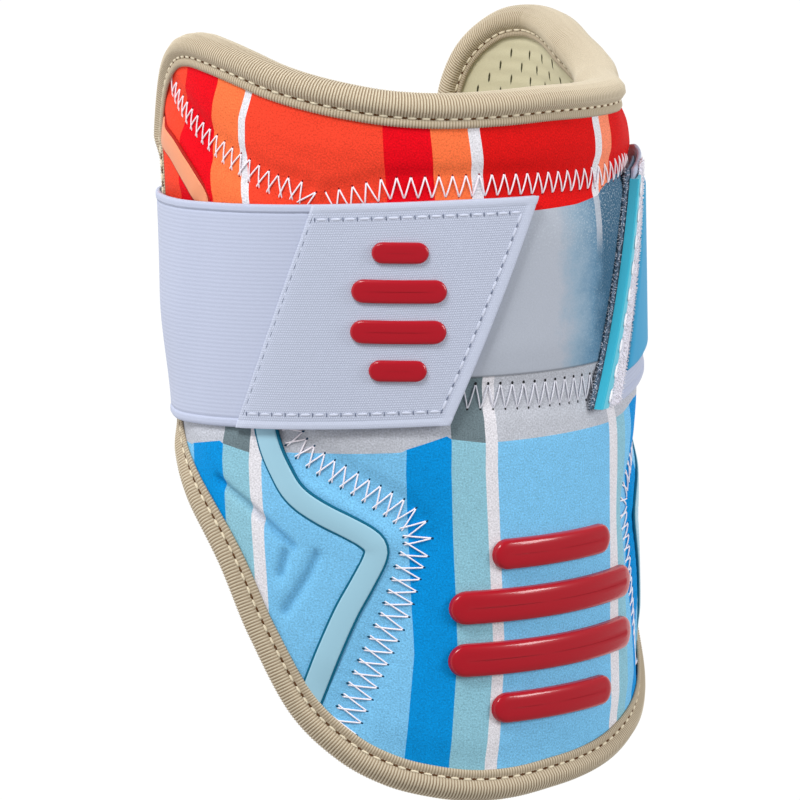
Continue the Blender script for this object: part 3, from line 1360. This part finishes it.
ROW_INSET = 4.0
low, high = ROW_INSET * MM / STRAP_WIDTH, 1 - ROW_INSET * MM / STRAP_WIDTH
end_inset = ROW_INSET * DEGREES_PER_MM
LONG_ROWS = tuple(((tab_left(share) + 2, share), (tab_right(share) - end_inset, share))
                  for share in (low, high))
END_ROW = (((tab_right(low) - end_inset, low), (tab_right(high) - end_inset, high)),)
LEFT_ROW = (((tab_left(0.02) + 1.2, 0.02), (tab_left(0.98) + 1.2, 0.98)),)
tab_thread = make_plain("tab_thread", tint(202, 208, 226), 0.7, sheen=0.1)
thread_shadow = make_plain("thread_shadow", tint(112, 120, 142), 0.9)
# Columns: name, rows, lift off the tab's top in mm, size in mm, finish, pitch in mm, phase
TAB_STITCHES = (
    ("tab_stitches", LONG_ROWS + END_ROW, -0.05, (3.2, 0.9, 0.5), tab_thread, 3.8, 0.5),
    ("tab_ticks", LONG_ROWS, 0.05, (0.35, 1.3, 0.35), thread_shadow, 3.8, 0.0),
    ("end_ticks", END_ROW, 0.08, (1.3, 0.4, 0.3), thread_shadow, 3.8, 0.0),
    ("left_ticks", LEFT_ROW, -0.3, (2.2, 0.3, 0.3), thread_shadow, 3.2, 0.0),
    ("left_stitches", LEFT_ROW, -0.25, (1.0, 0.4, 0.3), tab_thread, 3.2, 0.5),
)
for name, rows, lift, size, material, pitch, phase in TAB_STITCHES:
    sewn = [stitch_on_strap(*row, TAB_TOP + lift * MM, pitch, phase) for row in rows]
    points, facing, along = (np.concatenate(parts) for parts in zip(*sewn))
    set_studs(name, points, facing, along, size, material)

# %% [markdown]
# ## The strap's other end
# Hook tape lies under the strap's end and holds it to the guard, so a rough fringe peeks out
# from under the cut edge. A moulded bar wraps that edge, and a band of white loops and a soft
# patch lie behind it. Particle hair could make the fringe, but it isn't a mesh. Fibres are
# short tapered hairs instead, scattered by a node group with a fixed seed.

# %% Group that scatters fibres
fibres, into, out, FIBRE_KEYS = new_growth(
    "Fibres on faces", {"Density": "Float", "Length": "Float", "Radius": "Float",
                        "Spread": "Float", "Seed": "Int", "Finish": "Material"})
scatter = fibres.add("GeometryNodeDistributePointsOnFaces", None, Mesh=into["Geometry"],
                     Density=into["Density"], Seed=into["Seed"])
hair = fibres.add("GeometryNodeMeshCone", Vertices=4, Radius_Top=0.3, Radius_Bottom=1.0, Depth=1.0)
thin = fibres.add("ShaderNodeCombineXYZ", X=into["Radius"], Y=into["Radius"], Z=into["Length"])
drawn = fibres.add("GeometryNodeTransform", Geometry=hair, Scale=thin)
backward = fibres.math("MULTIPLY", into["Spread"], -1.0)
low_lean, high_lean = (fibres.add("ShaderNodeCombineXYZ", X=spread, Y=spread, Z=spread)
                       for spread in (backward, into["Spread"]))
lean = fibres.add("FunctionNodeRandomValue", 0, {"data_type": "FLOAT_VECTOR"}, i0=low_lean,
                  i1=high_lean, Seed=into["Seed"])
leaning = fibres.add("FunctionNodeRotateRotation", Rotation=scatter["Rotation"], Rotate_By=lean)
stood = fibres.add("GeometryNodeInstanceOnPoints", Points=scatter["Points"], Instance=drawn,
                   Rotation=leaning)
finish_growth(fibres, stood, into["Finish"], out["Geometry"])


def set_fibres(name, base, density, length, radius, spread, seed, material):
    """Grow fibres over a piece's faces; density is in fibres a square mm."""
    settings = {"Density": density / MM ** 2, "Length": length * MM, "Radius": radius * MM,
                "Spread": spread, "Seed": seed, "Finish": material}
    obj = link_object(name, run_group(base, fibres, FIBRE_KEYS, settings))
    return settle(obj)


# %% The bar and its stitches
# Section of the bar. Columns: distance from the strap's cut end in mm, lift in mm
BAR_SECTION = ((3.4, 1.55), (3.4, 2.0), (3.0, 2.3), (0.15, 2.5), (-0.4, 2.3), (-0.5, -0.1),
               (-0.05, 0.0), (-0.05, 1.55))
BAR_FRONT = {3, 4, 5}
BAR_SHARE = 0.96
END_STATIONS = 60
DASH_COUNT = 9
DASH_GAP = 2.3 * DEGREES_PER_MM
DASH_LIFT = np.full(DASH_COUNT, 2.55 * MM)


def end_angle(share):
    return RIGHT_END_ANGLE + END_SLANT * (share - 0.5)


section = np.array(BAR_SECTION)
sides = len(section)
gap, share = np.meshgrid(section[:, 0], np.linspace(0, BAR_SHARE, END_STATIONS))
bar_points, _ = on_strap(end_angle(share) + gap * DEGREES_PER_MM, share,
                         np.broadcast_to(section[:, 1] * MM, share.shape))
bar_pale = make_plain("bar_top", tint(110, 200, 222), 0.5, coat=0.1)
bar = outwards(new_piece("moulded_bar", bar_points, capped_faces(END_STATIONS, sides), bar_pale))
bar.data.materials.append(make_plain("bar_edge", tint(54, 180, 208), 0.5, coat=0.1))
for polygon in bar.data.polygons:
    corners = {index % sides for index in polygon.vertices}
    polygon.material_index = 1 if corners <= BAR_FRONT else 0
bar.data.set_sharp_from_angle(angle=math.radians(35))
settle(bar, "end_bar")

loop_white = make_plain("loop_pile", tint(246, 244, 250), 0.9, sheen=0.2)
share = (np.arange(DASH_COUNT) + 0.5) * BAR_SHARE / DASH_COUNT
points, facing = on_strap(end_angle(share) + DASH_GAP, share, DASH_LIFT)
ahead, _ = on_strap(end_angle(share + 0.01) + DASH_GAP, share + 0.01, DASH_LIFT)
set_studs("bar_dashes", points, facing, unit(ahead - points), (4.5, 1.1, 0.6), loop_white)


# %% Hook tape, loops and patch
def end_plate(name, span, lifts, material, steps, shares=(0.0, 1.0)):
    """A thin piece parallel to the cut end, over a span of distances in mm from it."""
    (near, far), (foot, top), (low, high) = span, lifts, shares
    share, gap = np.meshgrid(np.linspace(low, high, END_STATIONS), np.linspace(near, far, steps))
    sides = np.minimum(gap - near, far - gap)
    ends = np.minimum(share - low, high - share) * STRAP_WIDTH / MM
    rounded = smooth(np.minimum(sides, ends), -0.3, 0.8)
    return strap_solid(name, end_angle(share) + gap * DEGREES_PER_MM, share,
                       np.full(share.shape, foot * MM),
                       (foot + (top - foot) * (0.45 + 0.55 * rounded)) * MM, material)


PATCH_SHARES = (0.5 - 22.5 / 61, 0.5 + 22.5 / 61)
hook_dark = make_plain("hook_fibre", tint(50, 66, 82), 0.7)
hook_grey = make_plain("hook_tape", tint(104, 126, 148), 0.8)
hook_haze = make_plain("hook_haze", tint(216, 222, 236), 0.8)
loop_backing = make_plain("loop_backing", tint(236, 234, 246), 0.9)
settle(end_plate("hook_tape", (-0.9, 12), (-1.45, -0.35), hook_grey, 14), "end_hook")
fringe = settle(end_plate("hook_fringe", (-1.1, -0.6), (-1.5, -0.5), hook_grey, 3))
set_fibres("hook_fibres", fringe, 4.0, 0.7, 0.08, 0.8, 5, hook_dark)
set_fibres("hook_pale_fibres", fringe, 3.0, 0.8, 0.15, 1.0, 6, hook_haze)
loops = settle(end_plate("loop_band", (3.45, 10.0), (1.5, 2.0), loop_backing, 8))
set_fibres("loop_fibres", loops, 3.5, 0.7, 0.11, 1.1, 7, loop_white)
patch_blue = make_plain("patch_cloth", tint(58, 158, 204), 0.7, sheen=0.1)
end_patch = end_plate("soft_patch", (11.2, 56.0), (1.5, 2.35), patch_blue, 34,
                      PATCH_SHARES)
settle(end_patch, "end_patch")

# %% [markdown]
# ## Inlaid strips
# Soft moulded strips are let into the wings and follow their seams. A bevelled curve would make
# a round cord. These are flat with rounded shoulders, so a small section is carried along each
# line instead, over a slightly wider dark band that draws its outline.

# %% Make the strips
STRIP_STEPS = 90
STRIP_LIFT = 0.1 * MM
STRIP_BASE = -0.4 * MM
OUTLINE_WIDTH = 0.6 * MM
# Section across a strip. Columns: share of the half width, share of the height
STRIP_SECTION = ((-1.0, 0.0), (-0.99, 0.6), (-0.94, 0.88), (-0.86, 1.0), (0.0, 1.0), (0.86, 1.0),
                 (0.94, 0.88), (0.99, 0.6), (1.0, 0.0))


def band_along(name, line, half_width, height, material):
    centre = evenly(line, STRIP_STEPS)
    _, across = beside(centre)
    section = np.array(STRIP_SECTION)
    places = centre[:, None] + across[:, None] * (section[:, 0] * half_width)[None, :, None]
    bed = np.broadcast_to(cover_lift(centre)[:, None], places.shape[:-1])
    top, _ = on_shell(places, bed + STRIP_LIFT + section[:, 1] * height)
    base, _ = on_shell(places, bed + STRIP_BASE)
    return outwards(new_sheet(name, top, base, material))


# Columns: colour of the strip, colour of its outline, slot
STRIP_FINISHES = {
    "lower": (make_plain("mint_strip", tint(157, 200, 219), 0.5, coat=0.15),
              make_plain("teal_outline", tint(0, 98, 128), 0.7), "strip_light"),
    "upper": (make_plain("peach_strip", tint(230, 148, 108), 0.5, coat=0.15),
              make_plain("rust_outline", tint(168, 30, 20), 0.7), "strip_peach"),
}
for key, line in strips.items():
    fill, edging, slot = STRIP_FINISHES[key.split("_")[0]]
    settle(band_along(key + "_band", line, STRIP_HALF, 0.7 * MM, fill),
           key.replace("_", "_strip_"))
    settle(band_along(key + "_outline", line, STRIP_HALF + OUTLINE_WIDTH, 0.4 * MM, edging))

# %% [markdown]
# ## Moulded ribs
# Glossy ribs stand on the front and on the tab. A box with a Bevel modifier would stay straight,
# and these bend with the cloth. So a rounded outline is drawn in over a soft bevel to a crown,
# each point is laid on the shell or the strap, and the rib catches a long highlight.

# %% Make the ribs
# Columns, in mm: height of the middle, half length, half width
SHELL_RIBS = ((76.5, 21, 4.2), (62.5, 33, 4.6), (48, 33, 4.6), (34, 21, 4.2))
TAB_RIBS = ((160, 7.5, 2.9), (149.5, 12.5, 3.2), (138.5, 12.5, 3.2), (128, 7.5, 2.9))
SHELL_RIB_ARC = math.radians(1.2) * ARC_RADIUS
SHELL_RIB_FOOT = 0.75 * MM
TAB_RIB_ANGLE = -39
# Bevel. Columns: share of the half width, share of the rise
RIB_BEVEL = ((1.06, -0.4), (1.0, 0.0), (0.985, 0.45), (0.95, 0.68), (0.86, 0.86), (0.72, 0.95),
             (0.5, 0.99), (0.25, 1.0), (0.02, 1.0))
RIB_TURNS = 12
RIB_RUN = 24
rib_gloss = make_plain("gloss_rib", tint(172, 0, 26), 0.28, coat=0.5)


def rib_outline():
    """Unit stadium: (side of the straight part, share of the half width) pairs."""
    turn = np.radians(np.linspace(-90, 90, RIB_TURNS + 1))
    cap = np.stack([np.ones(len(turn)), np.cos(turn), np.sin(turn)], -1)
    share = 1 - 2 * np.arange(1, RIB_RUN) / RIB_RUN
    run = np.stack([share, 0 * share, 1 + 0 * share], -1)
    half = np.vstack([cap, run])
    return np.vstack([half, half * (-1, -1, -1)])


def on_front(x, height, rise):
    """A point of a shell rib: x is the distance round the shell from the ribs' middle."""
    place = np.stack([SHELL_RIB_ARC + x, height], -1)
    return on_shell(place, SHELL_RIB_FOOT + rise)[0]


def on_tab(x, height, rise):
    """The same for a rib on the tab."""
    degrees = TAB_RIB_ANGLE + np.degrees(x / ARC_RADIUS)
    share = (height - strap_height(np.radians(degrees), 0.0)) / STRAP_WIDTH
    return on_strap(degrees, share, TAB_TOP + rise)[0]


def make_ribs(rows, laid, rise, name, node):
    bevel = np.array(RIB_BEVEL)
    outline = rib_outline()
    for number, (middle, half_length, half_width) in enumerate(rows, 1):
        inset = bevel[:, :1] * half_width * MM
        x = outline[:, 0] * (half_length - half_width) * MM + outline[:, 1] * inset
        y = outline[:, 2] * inset
        points = laid(x, middle * MM + y, bevel[:, 1:] * rise + 0 * x)
        rib = new_piece(name % number, points, capped_faces(*x.shape), rib_gloss)
        settle(outwards(rib), node % number)


make_ribs(SHELL_RIBS, on_front, 2.4 * MM, "front_rib_%d", "shell_rib_%d")
make_ribs(TAB_RIBS, on_tab, 1.2 * MM, "small_rib_%d", "tab_rib_%d")

# %% [markdown]
# ## Floor, light and camera
# The guard lies on a white sweep under soft light. A lit grey floor would need far more lamps
# to turn white, so the sweep shines by itself and two square lights model the forms. The camera
# stands where the picture's camera stood, worked out from the rim, the seams and the outline.

# %% Floor
floor_material = make_plain("white_sweep", (0.02, 0.02, 0.02, 1), 1.0)
floor_shader = floor_material.node_tree.nodes["Principled BSDF"]
floor_shader.inputs["Emission Color"].default_value = (1, 1, 1, 1)
floor_shader.inputs["Emission Strength"].default_value = 1.0
floor_mesh = bpy.data.meshes.new("sweep")
FLOOR_REACH = 4.0
FLOOR_LIFT = -0.5 * MM
floor_mesh.from_pydata([(x * FLOOR_REACH, y * FLOOR_REACH, FLOOR_LIFT)
                        for x, y in ((-1, -1), (1, -1), (1, 1), (-1, 1))], [], [(0, 1, 2, 3)])
floor_mesh.materials.append(floor_material)
link_object("sweep", floor_mesh)

# %% Camera
PHI = 0.7317
ELEVATION = 0.1823
ROLL = 0.0231
DISTANCE = 1784.886 * MM
AIM = np.array((3.0496, 107.1223, 3.3505)) * MM
PIXEL = 0.281 * MM
FRAME_PIXELS = 800
back = np.array((-math.sin(PHI) * math.cos(ELEVATION), math.sin(ELEVATION),
                 math.cos(PHI) * math.cos(ELEVATION)))
level = unit(np.cross(-back, (0, 1, 0)))
rise = np.cross(level, -back)
right = level * math.cos(ROLL) + rise * math.sin(ROLL)
up = rise * math.cos(ROLL) - level * math.sin(ROLL)
eye = at_rest(AIM + back * DISTANCE)
axes = [REST_TURN @ axis for axis in (right, up, back)]
camera_data = bpy.data.cameras.new("camera")
camera_data.sensor_width = 36
camera_data.lens = 36 * DISTANCE / PIXEL / FRAME_PIXELS
camera_data.clip_start = 0.1
camera_data.clip_end = 20
camera = link_object("camera", camera_data)
camera.matrix_world = Matrix([[*(axis[row] for axis in axes), eye[row]] for row in range(3)]
                             + [[0, 0, 0, 1]])
bpy.context.scene.camera = camera
print("camera height over the floor, mm:", round(eye[2] / MM))


# %% Light
def add_light(name, across, above, distance, size, power):
    """A square light aimed at the guard, placed by the camera's own directions."""
    toward = unit(axes[2] + axes[0] * across + axes[1] * above)
    centre = at_rest(AIM)
    place = centre + toward * distance
    data = bpy.data.lights.new(name, "AREA")
    data.shape = "SQUARE"
    data.size = size
    data.energy = power
    obj = link_object(name, data)
    obj.location = place
    obj.rotation_mode = "QUATERNION"
    obj.rotation_quaternion = Vector(toward).to_track_quat("Z", "Y")


add_light("key", -0.45, 1.0, 1.2, 0.4, 9.8)
add_light("rim", 2.6, 0.6, 1.2, 0.4, 7)
world = bpy.data.worlds.new("white_room")
world.use_nodes = True
world.node_tree.nodes["Background"].inputs["Color"].default_value = (1, 1, 1, 1)
world.node_tree.nodes["Background"].inputs["Strength"].default_value = 0.42
bpy.context.scene.world = world
bpy.context.scene.view_settings.view_transform = "Standard"
